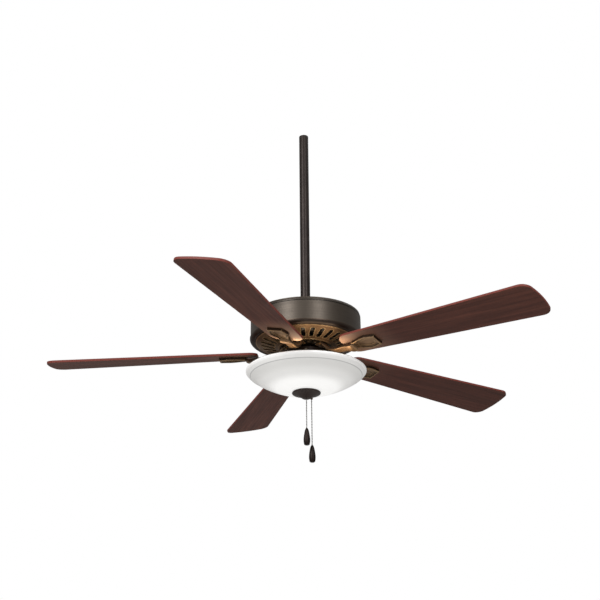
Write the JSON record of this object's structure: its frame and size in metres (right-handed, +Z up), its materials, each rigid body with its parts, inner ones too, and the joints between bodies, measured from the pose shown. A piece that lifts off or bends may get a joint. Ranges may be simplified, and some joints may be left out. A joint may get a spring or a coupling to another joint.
{
  "type": "ceiling fan with light",
  "caption": "Downrod ceiling fan with tapered wooden blades on cast irons, a drum motor housing, a slotted vent cover, a frosted bowl light and two pull chains with pendants.",
  "frame": {"origin": "centre of the hanger-pin hole near the downrod's upper end, on the fan's axis", "axes": "+Z up along the downrod, +X along the hanger-pin hole, -Y towards the viewer's side"},
  "size_m": [1.227, 1.2755, 0.9253],
  "materials": {
    "dark_bronze": "satin dark bronze",
    "antique_bronze": "antique bronze with golden rubbed edges",
    "blade_wood": "dark walnut with reddish edges, satin",
    "frosted_glass": "white frosted glass",
    "bulb_glass": "frosted bulb glass",
    "zinc_steel": "zinc plated",
    "bronze_screw": "dark bronze, glossy",
    "motor_steel": "laminated steel",
    "copper": "enamelled copper",
    "rotor_alloy": "die-cast, dark",
    "nickel_chain": "nickel plated",
    "black_plastic": "black moulded",
    "lamp_porcelain": "glazed white",
    "wire_plastic": "wire insulation",
    "gasket_rubber": "soft black"
  },
  "bodies": {
    "root": {"bowl_gasket": "gasket_rubber", "bulb_1": "bulb_glass", "bulb_2": "bulb_glass", "bulb_3": "bulb_glass", "capacitor": "black_plastic", "center_nipple": "zinc_steel", "chain_bushing": "copper", "downrod": "dark_bronze", "fan_switch": "black_plastic", "finial": "dark_bronze", "glass_bowl": "frosted_glass", "lamp_socket_1": "lamp_porcelain", "lamp_socket_2": "lamp_porcelain", "lamp_socket_3": "lamp_porcelain", "lead_wires": "wire_plastic", "light_pan": "dark_bronze", "light_switch": "black_plastic", "lower_bearing": "zinc_steel", "motor_housing": "dark_bronze", "motor_shaft": "zinc_steel", "neck_collar": "dark_bronze", "nipple_nuts": "zinc_steel", "reverse_switch": "black_plastic", "shaft_nut": "zinc_steel", "stator_core": "motor_steel", "stator_windings": "copper", "switch_housing": "dark_bronze", "switch_housing_screws": "dark_bronze", "switch_plate": "zinc_steel", "upper_bearing": "zinc_steel", "vent_cover": "antique_bronze", "vent_cover_screws": "dark_bronze", "yoke": "zinc_steel", "yoke_cover": "dark_bronze", "yoke_pin": "zinc_steel", "yoke_pin_clip": "zinc_steel", "yoke_set_screws": "zinc_steel"},
    "rotor": {"rotor_upper_shell": "rotor_alloy", "rotor_lower_shell": "rotor_alloy", "rotor_cage": "motor_steel", "rotor_shell_screws": "zinc_steel", "iron_screws": "bronze_screw", "blade_screws": "bronze_screw", "blade_iron_1": "antique_bronze", "blade_iron_2": "antique_bronze", "blade_iron_3": "antique_bronze", "blade_iron_4": "antique_bronze", "blade_iron_5": "antique_bronze", "blade_1": "blade_wood", "blade_2": "blade_wood", "blade_3": "blade_wood", "blade_4": "blade_wood", "blade_5": "blade_wood"},
    "fan_pull": {"fan_chain_upper": "nickel_chain", "fan_pull_chain": "nickel_chain", "fan_pendant": "dark_bronze"},
    "light_pull": {"light_chain_upper": "nickel_chain", "light_pull_chain": "nickel_chain", "light_pendant": "dark_bronze"},
    "reverse_slide": {"reverse_slider": "black_plastic"}
  },
  "joints": [
    {"name": "rotor_spin", "type": "hinge", "parent": "root", "child": "rotor", "pos_m": [0, 0, -0.6258], "axis": [0, 0, 1], "continuous": true},
    {"name": "fan_chain_pull", "type": "slide", "parent": "root", "child": "fan_pull", "axis": [0, 0, -1], "range_m": [0, 0.018], "stiffness_N_per_m": 300, "springref_m": -0.006},
    {"name": "light_chain_pull", "type": "slide", "parent": "root", "child": "light_pull", "axis": [0, 0, -1], "range_m": [0, 0.018], "stiffness_N_per_m": 300, "springref_m": -0.006},
    {"name": "reverse_switch_slide", "type": "slide", "parent": "root", "child": "reverse_slide", "axis": [0, -1, 0], "range_m": [0, 0.006]}
  ]
}
